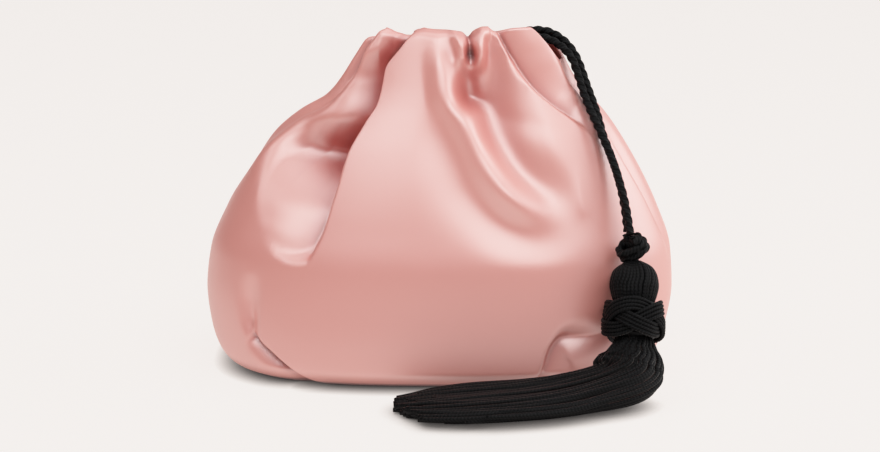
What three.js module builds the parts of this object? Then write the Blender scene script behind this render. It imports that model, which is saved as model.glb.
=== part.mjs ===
// Drawstring pouch: a soft satin bag gathered at the mouth, with a twisted cord and a tassel.
// Millimetres, +Z up, -Y is the front, the base lies on z = 0.
import * as THREE from "three";
import { mergeVertices } from "three/addons/utils/BufferGeometryUtils.js";

// Rows of numbers become objects with named columns.
function table(names, ...rows) {
  return rows.map((row) => Object.fromEntries(names.map((name, i) => [name, row[i]])));
}

// Driving sizes
const WALL = 1.7;
const CORD_WIDTH = 3.8;
const CORD_SIDES = 8;
const CORD_STEP = 8;
const RIM_FADE_FROM = 114;
const RIM_HEIGHT = 153;
const RIM_ROLL = 3.5;
const ROLL_FREE = { middle: 85, half: 45, fade: 20 };

// Pouch without folds: half widths and depths at each level, from the base's middle to the rim.
const PROFILE = table(
  ["z", "left", "right", "front", "back", "square"],
  [0, 0, 0, 0, 0, 2.7],
  [0, 42, 41, 23, 22, 2.7],
  [0, 84, 82, 47, 44, 2.7],
  [2.5, 93.5, 91, 55.5, 51, 2.8],
  [9, 100, 98.5, 61.2, 56, 2.75],
  [20, 103.8, 102.5, 60.6, 57, 2.6],
  [35, 105.5, 105, 58.8, 57, 2.45],
  [52, 103.5, 104, 56, 55, 2.35],
  [70, 96, 98, 50, 50, 2.3],
  [87, 86.8, 90, 43.5, 44, 2.25],
  [102, 77.5, 81.3, 37, 38, 2.2],
  [113, 65, 74, 32, 33, 2.1],
  [121, 52.5, 67.5, 28.5, 29, 2.05],
  [129, 46.3, 61.5, 25.2, 26, 2],
  [138, 41.3, 57, 21.7, 23, 2],
  [146, 36.8, 52, 18.7, 21, 2],
  [RIM_HEIGHT, 32, 47, 16, 19.5, 2],
);
const PROFILE_COLUMNS = ["z", "left", "right", "front", "back", "square"];
const BASE_EDGE = 2;
const HALVINGS = 24;
const SLOPE_STEP = 0.05;

// Folds press in along the cloth's normal, levelled by this share, and wholly level near the floor.
const FOLD_LEAN = 0.5;
const LEVEL_BELOW = 20;
const BASE_EASE = 0.5;

// Fold sections: how full a crease's shoulders are, how a ramp bends, and how fast a fold ends at a limit.
const CREASE_FULLNESS = 0.8;
const RAMP_BEND = 1.3;
const EDGE_WIDTH = 2.2;
const SPAN_STEPS = 8;

// Which levels of the profile carry a ring of the mesh.
const RINGS = [
  1, 2, 2.5, 3, 3.5, 4, 4.5, 5, 5.5, 6, 7, 7.5, 8, 8.5, 9, 9.5, 10, 10.5, 11, 12, 13, 14, 15, 15.5, 16,
];

// Columns round the pouch, closer together where the cloth turns sharply (degrees, 0 is the front).
const COLUMNS = table(
  ["from", "to", "count"],
  [-180, -70, 15],
  [-70, -38, 8],
  [-38, -26, 7],
  [-26, 4, 8],
  [4, 20, 10],
  [20, 62, 14],
  [62, 110, 12],
  [110, 150, 5],
  [150, 180, 5],
);

// A fold is a valley pressed in along a path. Depth below 0 is a ridge. Its section is round where sharp
// is 0, a crease with soft shoulders at 1 and a flat ramp at 2. A fold with a limit shows only on the kept
// side (-1 left, 1 right) of the line of the fold it names.
const STATION = ["angle", "z", "depth", "left", "right"];
const FOLDS = [
  { name: "left_tuck", limit: "recess_floor", keep: 1, sharp: 1.9, path: table(STATION,
    [-23, 153.5, 9, 16, 2.5], [-29, 146.5, 12, 20, 2.5], [-36.5, 138, 14.5, 24, 2.5],
    [-36, 130, 15, 24, 2.5], [-31, 112, 13, 34, 2.5], [-30, 98, 13.5, 42, 2.5], [-29.5, 82, 11, 38, 2.5],
    [-29.5, 68, 8, 30, 2.5], [-31, 58, 5.5, 26, 2.5], [-33, 48, 4, 24, 2.5]) },
  { name: "recess_floor", sharp: 0, path: table(STATION,
    [-110, 140, 0, 9, 9], [-84, 112, 0, 9, 9], [-68, 95, 0, 9, 9], [-60, 80, 0, 9, 9], [-51, 66, 0, 9, 9],
    [-44, 59, 0, 9, 9], [-37, 56, 0, 9, 9], [-30, 57, 0, 9, 9], [-25, 62, 0, 9, 9]) },
  { name: "left_hollow", limit: "left_tuck", keep: -1, sharp: 0, path: table(STATION,
    [-84, 113, 0, 14, 14], [-72, 110, 6, 20, 16], [-60, 106.5, 12, 27, 17], [-48, 104.5, 16, 31, 17],
    [-36, 103.5, 18, 33, 17], [-24, 104, 18, 33, 17]) },
  { name: "left_tube", sharp: 0, path: table(STATION,
    [-82, 138, 0, 13, 12], [-64, 141, -3, 14, 12], [-50, 143, -3, 14, 12], [-40, 144, 0, 12, 12]) },
  { name: "front_groove", sharp: 0, path: table(STATION,
    [-2, 124, 0, 10, 8], [1, 108, 2, 14, 9], [4.5, 95, 3, 17, 10], [8.2, 84, 4, 20, 11],
    [14.5, 73.5, 4.5, 21, 12], [23, 70.5, 3.5, 20, 12], [32, 73, 1, 18, 12]) },
  { name: "front_ridge", sharp: 0, path: table(STATION,
    [-2, 147, -1, 9, 8], [-0.5, 138, -3.5, 10, 8], [2.3, 127, -5, 11, 9], [6.6, 116, -5.5, 12, 11],
    [10.5, 106, -6.5, 13, 13], [13.7, 95, -7, 14, 14], [17, 84, -5.5, 14, 16], [21.5, 75, -2.5, 16, 18]) },
  { name: "notch_roll", sharp: 0, path: table(STATION,
    [7, 153, -2, 5, 5], [9.6, 146, -3.5, 5, 5], [11, 139.5, -4, 5, 5], [14.2, 135.2, -4, 5, 5],
    [17.6, 139, -4, 5, 5], [20, 146, -3.5, 5, 5], [23, 153, -2, 5, 5]) },
  { name: "notch_pocket", sharp: 0, path: table(STATION,
    [13.8, 141, 4, 7, 7], [13, 133, 11, 9.5, 9.5], [12, 125, 15, 11, 11]) },
  { name: "right_valley", sharp: 0, path: table(STATION,
    [26, 146, 4, 8, 16], [22.5, 132, 8, 10, 20], [18, 118, 10.5, 12, 26], [15.8, 106, 10.5, 12, 27],
    [18.8, 94, 9, 13, 27], [26, 86, 5.5, 14, 26], [38, 80, 0, 15, 22]) },
  { name: "right_step", sharp: 2, path: table(STATION,
    [33, 153, 4.5, 2.5, 20], [36, 140, 6, 2.5, 23], [41, 129.5, 6, 2.5, 25], [47.5, 120, 5.5, 2.5, 24],
    [53.5, 114, 4.5, 2.5, 20], [61, 106, 0, 4, 16]) },
  { name: "right_end", sharp: 0.5, path: table(STATION,
    [86, 153, 2, 12, 16], [85, 138, 3, 12, 16], [80, 122, 4.5, 8, 16], [72, 100, 3, 3, 13.5],
    [75, 74, 2.5, 3, 13.5], [79, 48, 0, 5.5, 11]) },
  { name: "left_end", sharp: 0.2, path: table(STATION,
    [-82, 150, 7, 12, 12], [-84, 128, 6, 13.5, 13.5], [-92, 100, 3, 16, 16], [-96, 75, 0, 16, 16]) },
  { name: "back_far_left", sharp: 0.3, path: table(STATION,
    [-118, 150, 9, 13.5, 12], [-120, 125, 8, 16, 13.5], [-126, 95, 4, 19, 16], [-130, 70, 0, 19, 19]) },
  { name: "back_left", sharp: 0.3, path: table(STATION,
    [-150, 150, 9, 12, 12], [-150, 120, 7, 16, 16], [-152, 88, 0, 19, 19]) },
  { name: "back_middle", sharp: 0.3, path: table(STATION,
    [-184, 150, 9, 12, 12], [-184, 122, 8, 16, 16], [-186, 84, 0, 19, 19]) },
  { name: "back_right", sharp: 0.3, path: table(STATION,
    [152, 150, 9, 12, 12], [150, 118, 7, 16, 16], [144, 80, 0, 19, 19]) },
  { name: "back_far_right", sharp: 0.3, path: table(STATION,
    [132, 150, 7, 12, 12], [126, 120, 7, 15, 16], [112, 84, 3, 16, 19], [106, 66, 0, 16, 19]) },
  { name: "left_corner_dip", sharp: 0, path: table(STATION,
    [-50, 48, 0, 12, 12], [-49, 37, 2, 11, 11], [-48.4, 28, 2.6, 9, 9], [-47.5, 22, 1.5, 7, 7]) },
  { name: "left_corner", sharp: 1.3, path: table(STATION,
    [-48.5, 23, 0, 8, 2.5], [-46.5, 20.5, 3.5, 10, 2.5], [-39, 13.3, 5, 13, 2.5], [-31, 5, 5, 13, 2.5],
    [-27.5, 0, 3.5, 12, 2.5]) },
  { name: "right_corner", sharp: 1.4, path: table(STATION,
    [46, 25, 0, 12, 10], [38, 23.5, 2.5, 13, 9], [31, 23.2, 3.5, 12, 10], [26, 23.6, 4.5, 6, 14],
    [23.2, 21.4, 5, 2.5, 18], [21.3, 16.5, 5, 2.5, 20], [20, 9.5, 5, 2.5, 20], [19, 0, 4, 2.5, 18]) },
  { name: "back_left_corner", sharp: 0.5, path: table(STATION,
    [-128, 30, 0, 8, 16], [-138, 22, 4, 7, 19], [-146, 12, 4.5, 5.5, 19], [-150, 0, 4, 5.5, 16]) },
  { name: "back_right_corner", sharp: 0.5, path: table(STATION,
    [128, 30, 0, 16, 8], [138, 22, 4, 19, 7], [146, 12, 4.5, 19, 5.5], [150, 0, 4, 16, 5.5]) },
];

// How far the rim rises or dips at each angle.
const RIM = table(
  ["angle", "lift"],
  [-180, -8], [-167, -5], [-155, -9], [-140, -8], [-120, -5], [-95, -4], [-75, -2.5], [-60, -0.5],
  [-52, -1], [-44, -2], [-38, -2.5], [-33, -3], [-27, -3], [-23, -2], [-18, -0.8], [-12, -0.5], [-5, -0.8],
  [3, -1], [8, -1.5], [12, -2], [14, -3.5], [14.7, -4], [15.4, -3.5], [17.4, -2], [19.5, -1], [24, 0],
  [27, 0], [31, -2], [45, -1], [58, -1], [62, -3], [66, -8], [70, -14], [75, -16], [97, -16], [104, -10],
  [112, -5], [130, -6], [150, -8], [157, -10], [162, -23], [167, -12], [180, -8],
);

// Cord routes, as x, y and z: out of the mouth's right end, down the side and into the knot.
const LOWER_ROUTE = [
  [33, -3.4, 144.2], [37.6, -2.9, 146.2], [42.4, -2.7, 147], [47.2, -2.8, 146.4], [51.6, -3.1, 144.3],
  [55.6, -3.5, 141.2], [58.6, -4.3, 137.2], [60.4, -6, 132.7], [61.9, -8.7, 128.2], [63.3, -11.7, 123.8],
  [65, -15.2, 119.4], [67, -18.9, 115.1], [69.3, -22.5, 110.6], [71.7, -26, 105.4], [74.1, -28.9, 100.2],
  [76.3, -32.7, 94.6], [78.2, -36.6, 88.6], [79.9, -40.6, 82.4], [81.2, -44.7, 75.8], [82.2, -49, 68.5],
];
const UPPER_ROUTE = [
  [31.5, 2.8, 145.4], [36.6, 3.3, 147.8], [42, 3.6, 149.1], [47.4, 3.7, 148.6], [52.2, 2.9, 146.6],
  [56.4, 1.6, 143.4], [59.6, 0.2, 139.4], [61.9, -1.3, 134.9], [63.6, -3.4, 130.4], [65.2, -6.3, 125.8],
  [66.9, -9.8, 121.4], [68.6, -13.3, 116.8], [70.2, -16.9, 111.8], [71.6, -20.2, 106.6], [73.8, -23.6, 101],
  [76, -27.2, 95.2], [78, -31.2, 89], [79.6, -35.4, 82.4], [80.7, -39.6, 75.6], [81.4, -43.9, 68.5],
];

// Tassel: one bundle from the head to the tips, with its half width and half thickness.
const BUNDLE = table(
  ["x", "y", "z", "wide", "thick"],
  [83.6, -48.6, 55.2, 4.2, 4.2],
  [83.8, -50.2, 52.2, 9, 8.4],
  [84, -52.6, 47.5, 10.6, 9.8],
  [83.9, -54.6, 43.6, 10, 9.5],
  [83.7, -57, 39, 8.6, 8.5],
  [83.4, -60, 33, 8.3, 8.3],
  [83.3, -63, 27, 8.1, 8.1],
  [83.2, -66, 21.1, 11.3, 10.2],
  [81.8, -70.3, 15.1, 16.4, 11.1],
  [76.3, -76.2, 10, 18.4, 9.5],
  [60, -81, 7.2, 20, 7],
  [40, -86.5, 6, 22.5, 5.8],
  [15, -89.5, 5.2, 23.5, 5],
  [-5, -90, 4.2, 20, 4],
  [-20, -88, 2.9, 12.5, 2.7],
);
const BUNDLE_SIDES = 30;
const BUNDLE_STEPS = 28;
const LOCKS = 10;
const LOCK_RELIEF = 0.06;

const BAND = { station: 5, inner: 9.6, outer: 14.2, half: 8.8, fullness: 0.7, sides: 32, arc: 9 };
const BAND_WEAVE = { bights: 6, relief: 0.5 };
const KNOT = { x: 83.4, y: -46.6, z: 61.6, wide: 7.2, deep: 5.9, tall: 5.6, sides: 18, rows: 11 };
const KNOT_GROOVES = { count: 3, slant: 5, relief: 0.1 };
const KNOT_END = 0.6;

const DEGREE = Math.PI / 180;
const MERGE_GAP = 1e-4;
const TINY = 1e-9;

function clamp(value, low, high) {
  return Math.min(high, Math.max(low, value));
}

// Monotone cubic through evenly numbered values.
function smoothAt(values, at) {
  const last = values.length - 1;
  const i = clamp(Math.floor(at), 0, last - 1);
  const rise = (k) => values[clamp(k, 0, last - 1) + 1] - values[clamp(k, 0, last - 1)];
  const slope = (k) => {
    if (k === 0 || k === last) return rise(k === 0 ? 0 : last - 1);
    const product = rise(k - 1) * rise(k);
    return product > 0 ? (2 * product) / (rise(k - 1) + rise(k)) : 0;
  };
  const t = at - i;
  const keep = values[i] * (1 + 2 * t) * (1 - t) ** 2 + values[i + 1] * t * t * (3 - 2 * t);
  return keep + slope(i) * t * (1 - t) ** 2 - slope(i + 1) * t * t * (1 - t);
}

function profileAt(ring) {
  const at = clamp(ring, 0, PROFILE.length - 1);
  const columns = PROFILE_COLUMNS.map((name) => [name, smoothAt(PROFILE.map((row) => row[name]), at)]);
  return Object.fromEntries(columns);
}

function power(value, exponent) {
  return Math.sign(value) * Math.abs(value) ** exponent;
}

// The pouch with no folds.
function plainPoint(angle, ring) {
  const level = profileAt(ring);
  const s = Math.sin(angle * DEGREE);
  const c = Math.cos(angle * DEGREE);
  const x = (s > 0 ? level.right : level.left) * power(s, 2 / level.square);
  const y = -(c > 0 ? level.front : level.back) * power(c, 2 / level.square);
  return new THREE.Vector3(x, y, level.z);
}

function plainNormal(angle, ring) {
  const round = plainPoint(angle + SLOPE_STEP, ring).sub(plainPoint(angle - SLOPE_STEP, ring));
  const up = plainPoint(angle, ring + SLOPE_STEP).sub(plainPoint(angle, ring - SLOPE_STEP));
  return round.cross(up).normalize();
}

function turn(degrees) {
  return ((degrees % 360) + 540) % 360 - 180;
}

// A smooth line through a fold's stations.
function foldLine(path) {
  const spans = path.length - 1;
  const at = (name, t) => {
    const i = clamp(Math.floor(t), 0, spans - 1);
    const u = t - i;
    const [b, c] = [path[i][name], path[i + 1][name]];
    const a = i > 0 ? path[i - 1][name] : 2 * b - c;
    const d = i + 2 <= spans ? path[i + 2][name] : 2 * c - b;
    const bend = (2 * a - 5 * b + 4 * c - d) * u * u + (3 * b - a - 3 * c + d) * u ** 3;
    return 0.5 * (2 * b + (c - a) * u + bend);
  };
  const steps = Array.from({ length: spans * SPAN_STEPS + 1 }, (_, i) => i / SPAN_STEPS);
  return steps.map((t) => ({ angle: at("angle", t), z: at("z", t), t }));
}

const FOLD_LINES = FOLDS.map((fold) => foldLine(fold.path));

function stationAt(path, name, t) {
  const i = clamp(Math.floor(t), 0, path.length - 2);
  return path[i][name] + (t - i) * (path[i + 1][name] - path[i][name]);
}

// Length of one degree round the pouch.
function perDegree(angle, ring) {
  const level = profileAt(ring);
  const s = Math.sin(angle * DEGREE);
  const c = Math.cos(angle * DEGREE);
  const across = (s > 0 ? level.right : level.left) * c;
  const deep = (c > 0 ? level.front : level.back) * s;
  return DEGREE * Math.hypot(across, deep);
}

// Nearest place on a fold's line, in millimetres on the cloth.
function nearest(line, angle, z, scale) {
  let best = { gap: Infinity, side: 0, t: 0 };
  for (let i = 0; i < line.length - 1; i += 1) {
    const ax = turn(line[i].angle - angle) * scale;
    const az = line[i].z - z;
    const dx = (line[i + 1].angle - line[i].angle) * scale;
    const dz = line[i + 1].z - line[i].z;
    const t = clamp(-(ax * dx + az * dz) / (dx * dx + dz * dz + TINY), 0, 1);
    const gap = Math.hypot(ax + t * dx, az + t * dz);
    const side = dz * ax - dx * az;
    if (gap < best.gap) best = { gap, side, t: line[i].t + t * (line[i + 1].t - line[i].t) };
  }
  return best;
}

// How far one fold presses the cloth in.
function foldDepth({ path, sharp }, { gap, side, t }) {
  const u = clamp(gap / stationAt(path, side < 0 ? "left" : "right", t), 0, 1);
  const round = (1 - u) ** 3 * (1 + 3 * u);
  const crease = (1 - u) ** 3 * (1 + CREASE_FULLNESS * u);
  const ramp = (1 - u) ** RAMP_BEND;
  const section = sharp < 1 ? round + sharp * (crease - round) : crease + (sharp - 1) * (ramp - crease);
  return stationAt(path, "depth", t) * section;
}

// The folds together, each ended at its limit.
function allFolds(angle, z, scale) {
  const places = FOLDS.map((fold, i) => nearest(FOLD_LINES[i], angle, z, scale));
  return FOLDS.reduce((sum, fold, i) => {
    const edge = places[FOLDS.findIndex((other) => other.name === fold.limit)];
    const shown = edge ? clamp((edge.side * fold.keep > 0 ? edge.gap : 0) / EDGE_WIDTH, 0, 1) : 1;
    return sum + shown * foldDepth(fold, places[i]);
  }, 0);
}

function rimLift(angle) {
  const turned = turn(angle);
  const i = clamp(RIM.findIndex((row) => row.angle > turned) - 1, 0, RIM.length - 2);
  const at = i + (turned - RIM[i].angle) / (RIM[i + 1].angle - RIM[i].angle);
  return smoothAt(RIM.map((row) => row.lift), at);
}

// How far the cloth rolls in along the rim, but where the cords lie over it.
function rimRoll(angle, z) {
  const near = clamp(1 - (RIM_HEIGHT + rimLift(angle) - z) / RIM_ROLL, 0, 1);
  const away = Math.abs(turn(angle - ROLL_FREE.middle));
  const share = clamp((away - ROLL_FREE.half) / ROLL_FREE.fade, 0, 1);
  return share * RIM_ROLL * (1 - Math.sqrt(1 - near * near));
}

// The level of the profile that has a given height.
function ringAt(z) {
  let [low, high] = [BASE_EDGE, PROFILE.length - 1];
  for (let i = 0; i < HALVINGS; i += 1) {
    const middle = (low + high) / 2;
    if (profileAt(middle).z < z) low = middle;
    else high = middle;
  }
  return (low + high) / 2;
}

// The level that a ring of the mesh comes to where the rim dips.
function cutRing(angle, ring) {
  const z = profileAt(ring).z;
  const rise = clamp((z - RIM_FADE_FROM) / (RIM_HEIGHT - RIM_FADE_FROM), 0, 1);
  if (rise === 0) return ring;
  return ringAt(z + rimLift(angle) * rise * rise * (3 - 2 * rise));
}

// The pouch with its folds, pressed in level with the floor near the base.
function clothPoint(angle, level) {
  const point = plainPoint(angle, level);
  const inward = plainNormal(angle, level).negate();
  inward.z *= FOLD_LEAN * clamp(point.z / LEVEL_BELOW, 0, 1);
  inward.normalize();
  const depth = allFolds(angle, point.z, perDegree(angle, level)) + rimRoll(angle, point.z);
  const ease = clamp((level - BASE_EDGE) / BASE_EASE + 1, 0, 1);
  return point.addScaledVector(inward, depth * ease);
}

function columnAngles() {
  return COLUMNS.flatMap(({ from, to, count }) =>
    Array.from({ length: count }, (_, i) => from + ((to - from) * i) / count));
}

function solid(points, faces) {
  const geometry = new THREE.BufferGeometry();
  const flat = points.flatMap((p) => [p.x, p.y, p.z]);
  geometry.setAttribute("position", new THREE.Float32BufferAttribute(flat, 3));
  geometry.setIndex(faces.flat());
  geometry.computeVertexNormals();
  return geometry;
}

function quad(a, b, c, d) {
  return [[a, b, c], [a, c, d]];
}

// One wall of cloth: the outside, the same moved inwards, joined at the rim.
function shellGeometry() {
  const angles = columnAngles();
  const n = angles.length;
  const levels = RINGS.map((ring) => angles.map((angle) => cutRing(angle, ring)));
  const outside = levels.map((row) => row.map((level, c) => clothPoint(angles[c], level)));
  const inside = levels.map((row, r) => row.map((level, c) =>
    outside[r][c].clone().addScaledVector(plainNormal(angles[c], level), -WALL)));
  const points = [new THREE.Vector3(0, 0, 0), new THREE.Vector3(0, 0, WALL)];
  points.push(...outside.flat(), ...inside.flat());
  const out = (r, c) => 2 + r * n + (c % n);
  const into = (r, c) => out(r + RINGS.length, c);
  const faces = [];
  for (let c = 0; c < n; c += 1) {
    faces.push([0, out(0, c + 1), out(0, c)], [1, into(0, c), into(0, c + 1)]);
    for (let r = 0; r < RINGS.length - 1; r += 1) {
      faces.push(...quad(out(r, c), out(r, c + 1), out(r + 1, c + 1), out(r + 1, c)));
      faces.push(...quad(into(r, c + 1), into(r, c), into(r + 1, c), into(r + 1, c + 1)));
    }
    const top = RINGS.length - 1;
    faces.push(...quad(out(top, c), out(top, c + 1), into(top, c + 1), into(top, c)));
  }
  return solid(points, faces);
}

function roundShape(radius, sides) {
  const corners = Array.from({ length: sides }, (_, i) => (i / sides) * 2 * Math.PI);
  return new THREE.Shape(corners.map((a) => new THREE.Vector2(radius * Math.cos(a), radius * Math.sin(a))));
}

function cordGeometry(route) {
  const places = route.map(([x, y, z]) => new THREE.Vector3(x, y, z));
  const path = new THREE.CatmullRomCurve3(places, false, "centripetal");
  const steps = Math.round(path.getLength() / CORD_STEP);
  const options = { steps, bevelEnabled: false, extrudePath: path };
  const tube = new THREE.ExtrudeGeometry(roundShape(CORD_WIDTH / 2, CORD_SIDES), options);
  tube.deleteAttribute("normal");
  tube.deleteAttribute("uv");
  return mergeVertices(tube, MERGE_GAP);
}

// Rings of points closed at both ends.
function capped(rings) {
  const n = rings[0].length;
  const middle = (ring) => ring.reduce((sum, p) => sum.add(p), new THREE.Vector3()).divideScalar(n);
  const points = [middle(rings[0]), middle(rings[rings.length - 1]), ...rings.flat()];
  const at = (r, i) => 2 + r * n + (i % n);
  const faces = [];
  for (let i = 0; i < n; i += 1) {
    faces.push([0, at(0, i + 1), at(0, i)], [1, at(rings.length - 1, i), at(rings.length - 1, i + 1)]);
    for (let r = 0; r < rings.length - 1; r += 1) {
      faces.push(...quad(at(r, i), at(r, i + 1), at(r + 1, i + 1), at(r + 1, i)));
    }
  }
  return solid(points, faces);
}

// Direction of the bundle, and the two directions across it.
function bundleFrame(path, t) {
  const along = path.getTangent(t);
  const across = new THREE.Vector3(0, 0, 1).cross(along).normalize();
  const up = along.clone().cross(across).normalize();
  return { middle: path.getPoint(t), along, across, up };
}

function bundlePath() {
  return new THREE.CatmullRomCurve3(BUNDLE.map((s) => new THREE.Vector3(s.x, s.y, s.z)));
}

// The tassel's strands as one scalloped bundle of locks.
function strandsGeometry() {
  const path = bundlePath();
  const last = BUNDLE.length - 1;
  const rings = Array.from({ length: BUNDLE_STEPS + 1 }, (_, k) => {
    const t = k / BUNDLE_STEPS;
    const { middle, across, up } = bundleFrame(path, t);
    const wide = smoothAt(BUNDLE.map((s) => s.wide), t * last);
    const thick = smoothAt(BUNDLE.map((s) => s.thick), t * last);
    return Array.from({ length: BUNDLE_SIDES }, (_, i) => {
      const a = (i / BUNDLE_SIDES) * 2 * Math.PI;
      const lock = 1 - LOCK_RELIEF * (0.5 + 0.5 * Math.cos(LOCKS * a));
      const point = middle.clone().addScaledVector(across, wide * lock * Math.cos(a));
      point.addScaledVector(up, thick * lock * Math.sin(a));
      point.z = Math.max(point.z, 0);
      return point;
    });
  });
  return capped(rings);
}

// A woven ring round the tassel's neck.
function bandGeometry() {
  const { middle, along, across, up } = bundleFrame(bundlePath(), BAND.station / (BUNDLE.length - 1));
  const section = Array.from({ length: BAND.arc + 1 }, (_, k) => (k / BAND.arc) * Math.PI);
  const points = [];
  for (let i = 0; i < BAND.sides; i += 1) {
    const a = (i / BAND.sides) * 2 * Math.PI;
    const out = across.clone().multiplyScalar(Math.cos(a)).addScaledVector(up, Math.sin(a));
    const relief = BAND_WEAVE.relief * Math.cos(BAND_WEAVE.bights * a);
    const weave = (bend) => relief * Math.cos(2 * bend) * Math.sin(bend);
    const swell = (bend) => (BAND.outer - BAND.inner) * Math.sin(bend) ** BAND.fullness;
    const reach = (bend) => BAND.inner + swell(bend) + weave(bend);
    section.forEach((bend) => {
      const place = middle.clone().addScaledVector(out, reach(bend));
      points.push(place.addScaledVector(along, -BAND.half * Math.cos(bend)));
    });
  }
  const rows = section.length;
  const at = (i, k) => (i % BAND.sides) * rows + (k % rows);
  const faces = [];
  for (let i = 0; i < BAND.sides; i += 1) {
    for (let k = 0; k < rows; k += 1) {
      faces.push(...quad(at(i, k), at(i + 1, k), at(i + 1, k + 1), at(i, k + 1)));
    }
  }
  return solid(points, faces);
}

// The overhand knot as a rounded lump with slanting grooves.
function knotGeometry() {
  const rings = Array.from({ length: KNOT.rows }, (_, k) => {
    const bend = ((k + KNOT_END) / (KNOT.rows - 1 + 2 * KNOT_END)) * Math.PI;
    return Array.from({ length: KNOT.sides }, (_, i) => {
      const a = (i / KNOT.sides) * 2 * Math.PI;
      const groove = Math.sin(KNOT_GROOVES.count * a + KNOT_GROOVES.slant * bend);
      const wrap = 1 + KNOT_GROOVES.relief * groove * Math.sin(bend);
      const x = KNOT.x + KNOT.wide * wrap * Math.sin(bend) * Math.cos(a);
      const y = KNOT.y + KNOT.deep * wrap * Math.sin(bend) * Math.sin(a);
      return new THREE.Vector3(x, y, KNOT.z - KNOT.tall * Math.cos(bend));
    });
  });
  return capped(rings);
}

function satin() {
  return new THREE.MeshStandardMaterial({ name: "pink_satin", color: 0xe3b4ac, roughness: 0.45 });
}

function blackCord() {
  return new THREE.MeshStandardMaterial({ name: "black_cord", color: 0x141414, roughness: 0.7 });
}

function piece(name, geometry, material) {
  const mesh = new THREE.Mesh(geometry, material);
  mesh.name = name;
  return mesh;
}

function buildPouch() {
  const group = new THREE.Group();
  const cloth = satin();
  const cord = blackCord();
  group.add(piece("pouch_shell", shellGeometry(), cloth));
  group.add(piece("drawstring_lower", cordGeometry(LOWER_ROUTE), cord));
  group.add(piece("drawstring_upper", cordGeometry(UPPER_ROUTE), cord));
  group.add(piece("cord_knot", knotGeometry(), cord));
  group.add(piece("tassel_strands", strandsGeometry(), cord));
  group.add(piece("tassel_band", bandGeometry(), cord));
  return group;
}

export default buildPouch();
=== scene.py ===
import math

import bpy
import numpy as np
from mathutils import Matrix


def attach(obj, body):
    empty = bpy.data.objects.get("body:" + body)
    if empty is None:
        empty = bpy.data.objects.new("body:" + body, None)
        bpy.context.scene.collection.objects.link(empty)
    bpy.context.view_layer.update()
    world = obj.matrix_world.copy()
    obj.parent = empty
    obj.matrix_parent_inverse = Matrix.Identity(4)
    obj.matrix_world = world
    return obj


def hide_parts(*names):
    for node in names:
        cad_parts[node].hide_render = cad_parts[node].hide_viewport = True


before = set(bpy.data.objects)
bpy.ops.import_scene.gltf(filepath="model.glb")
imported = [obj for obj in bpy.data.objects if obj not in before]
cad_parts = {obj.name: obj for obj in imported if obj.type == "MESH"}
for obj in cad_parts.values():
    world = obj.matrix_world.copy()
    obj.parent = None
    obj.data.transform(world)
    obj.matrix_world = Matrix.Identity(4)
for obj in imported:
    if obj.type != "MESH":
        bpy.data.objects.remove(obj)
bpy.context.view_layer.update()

MM = 0.001
rng = np.random.default_rng(7)
scene = bpy.context.scene

# Camera: the photo's frame, looking slightly down at the front
VIEW_WIDTH = 398.3  # mm across the image at the pouch's middle
CAMERA_HEIGHT_ANGLE = math.radians(14)
CAMERA_DISTANCE = 1100.0
CAMERA_TARGET = np.array([0.0, 0.0, 60.0])
SENSOR = 36.0


def make_camera():
    data = bpy.data.cameras.new("photo_camera")
    data.sensor_width = SENSOR
    data.lens = SENSOR * CAMERA_DISTANCE / VIEW_WIDTH
    camera = bpy.data.objects.new("photo_camera", data)
    scene.collection.objects.link(camera)
    back = np.array([0.0, -math.cos(CAMERA_HEIGHT_ANGLE), math.sin(CAMERA_HEIGHT_ANGLE)])
    camera.location = (CAMERA_TARGET + CAMERA_DISTANCE * back) * MM
    camera.rotation_euler = (math.pi / 2 - CAMERA_HEIGHT_ANGLE, 0, 0)
    scene.camera = camera


make_camera()

# Cords: twisted rope, and the routes from the mouth's right end to the knot
CORD_WIDTH = 3.8
CORD_LAY = 13.0
LOWER_ROUTE = [
    (33, -3.4, 144.2), (37.6, -2.9, 146.2), (42.4, -2.7, 147), (47.2, -2.8, 146.4), (51.6, -3.1, 144.3),
    (55.6, -3.5, 141.2), (58.6, -4.3, 137.2), (60.4, -6, 132.7), (61.9, -8.7, 128.2), (63.3, -11.7, 123.8),
    (65, -15.2, 119.4), (67, -18.9, 115.1), (69.3, -22.5, 110.6), (71.7, -26, 105.4), (74.1, -28.9, 100.2),
    (76.3, -32.7, 94.6), (78.2, -36.6, 88.6), (79.9, -40.6, 82.4), (81.2, -44.7, 75.8), (82.2, -49, 68.5)]
UPPER_ROUTE = [
    (31.5, 2.8, 145.4), (36.6, 3.3, 147.8), (42, 3.6, 149.1), (47.4, 3.7, 148.6), (52.2, 2.9, 146.6),
    (56.4, 1.6, 143.4), (59.6, 0.2, 139.4), (61.9, -1.3, 134.9), (63.6, -3.4, 130.4), (65.2, -6.3, 125.8),
    (66.9, -9.8, 121.4), (68.6, -13.3, 116.8), (70.2, -16.9, 111.8), (71.6, -20.2, 106.6), (73.8, -23.6, 101),
    (76, -27.2, 95.2), (78, -31.2, 89), (79.6, -35.4, 82.4), (80.7, -39.6, 75.6), (81.4, -43.9, 68.5)]
KNOT_MIDDLE = np.array([83.4, -46.6, 61.6])

# Inside the mouth each rope turns into the cloth, in place of its route's first points
ROOTED = 2
LOWER_ROOT = [(33.2, -9.2, 143.6), (35.4, -5.6, 145.3), (38.6, -3.4, 146.5)]
UPPER_ROOT = [(30.6, 14.2, 138.6), (33.1, 7.8, 143.8), (35.2, 5.3, 146.5), (38.2, 4, 148.3)]

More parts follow.
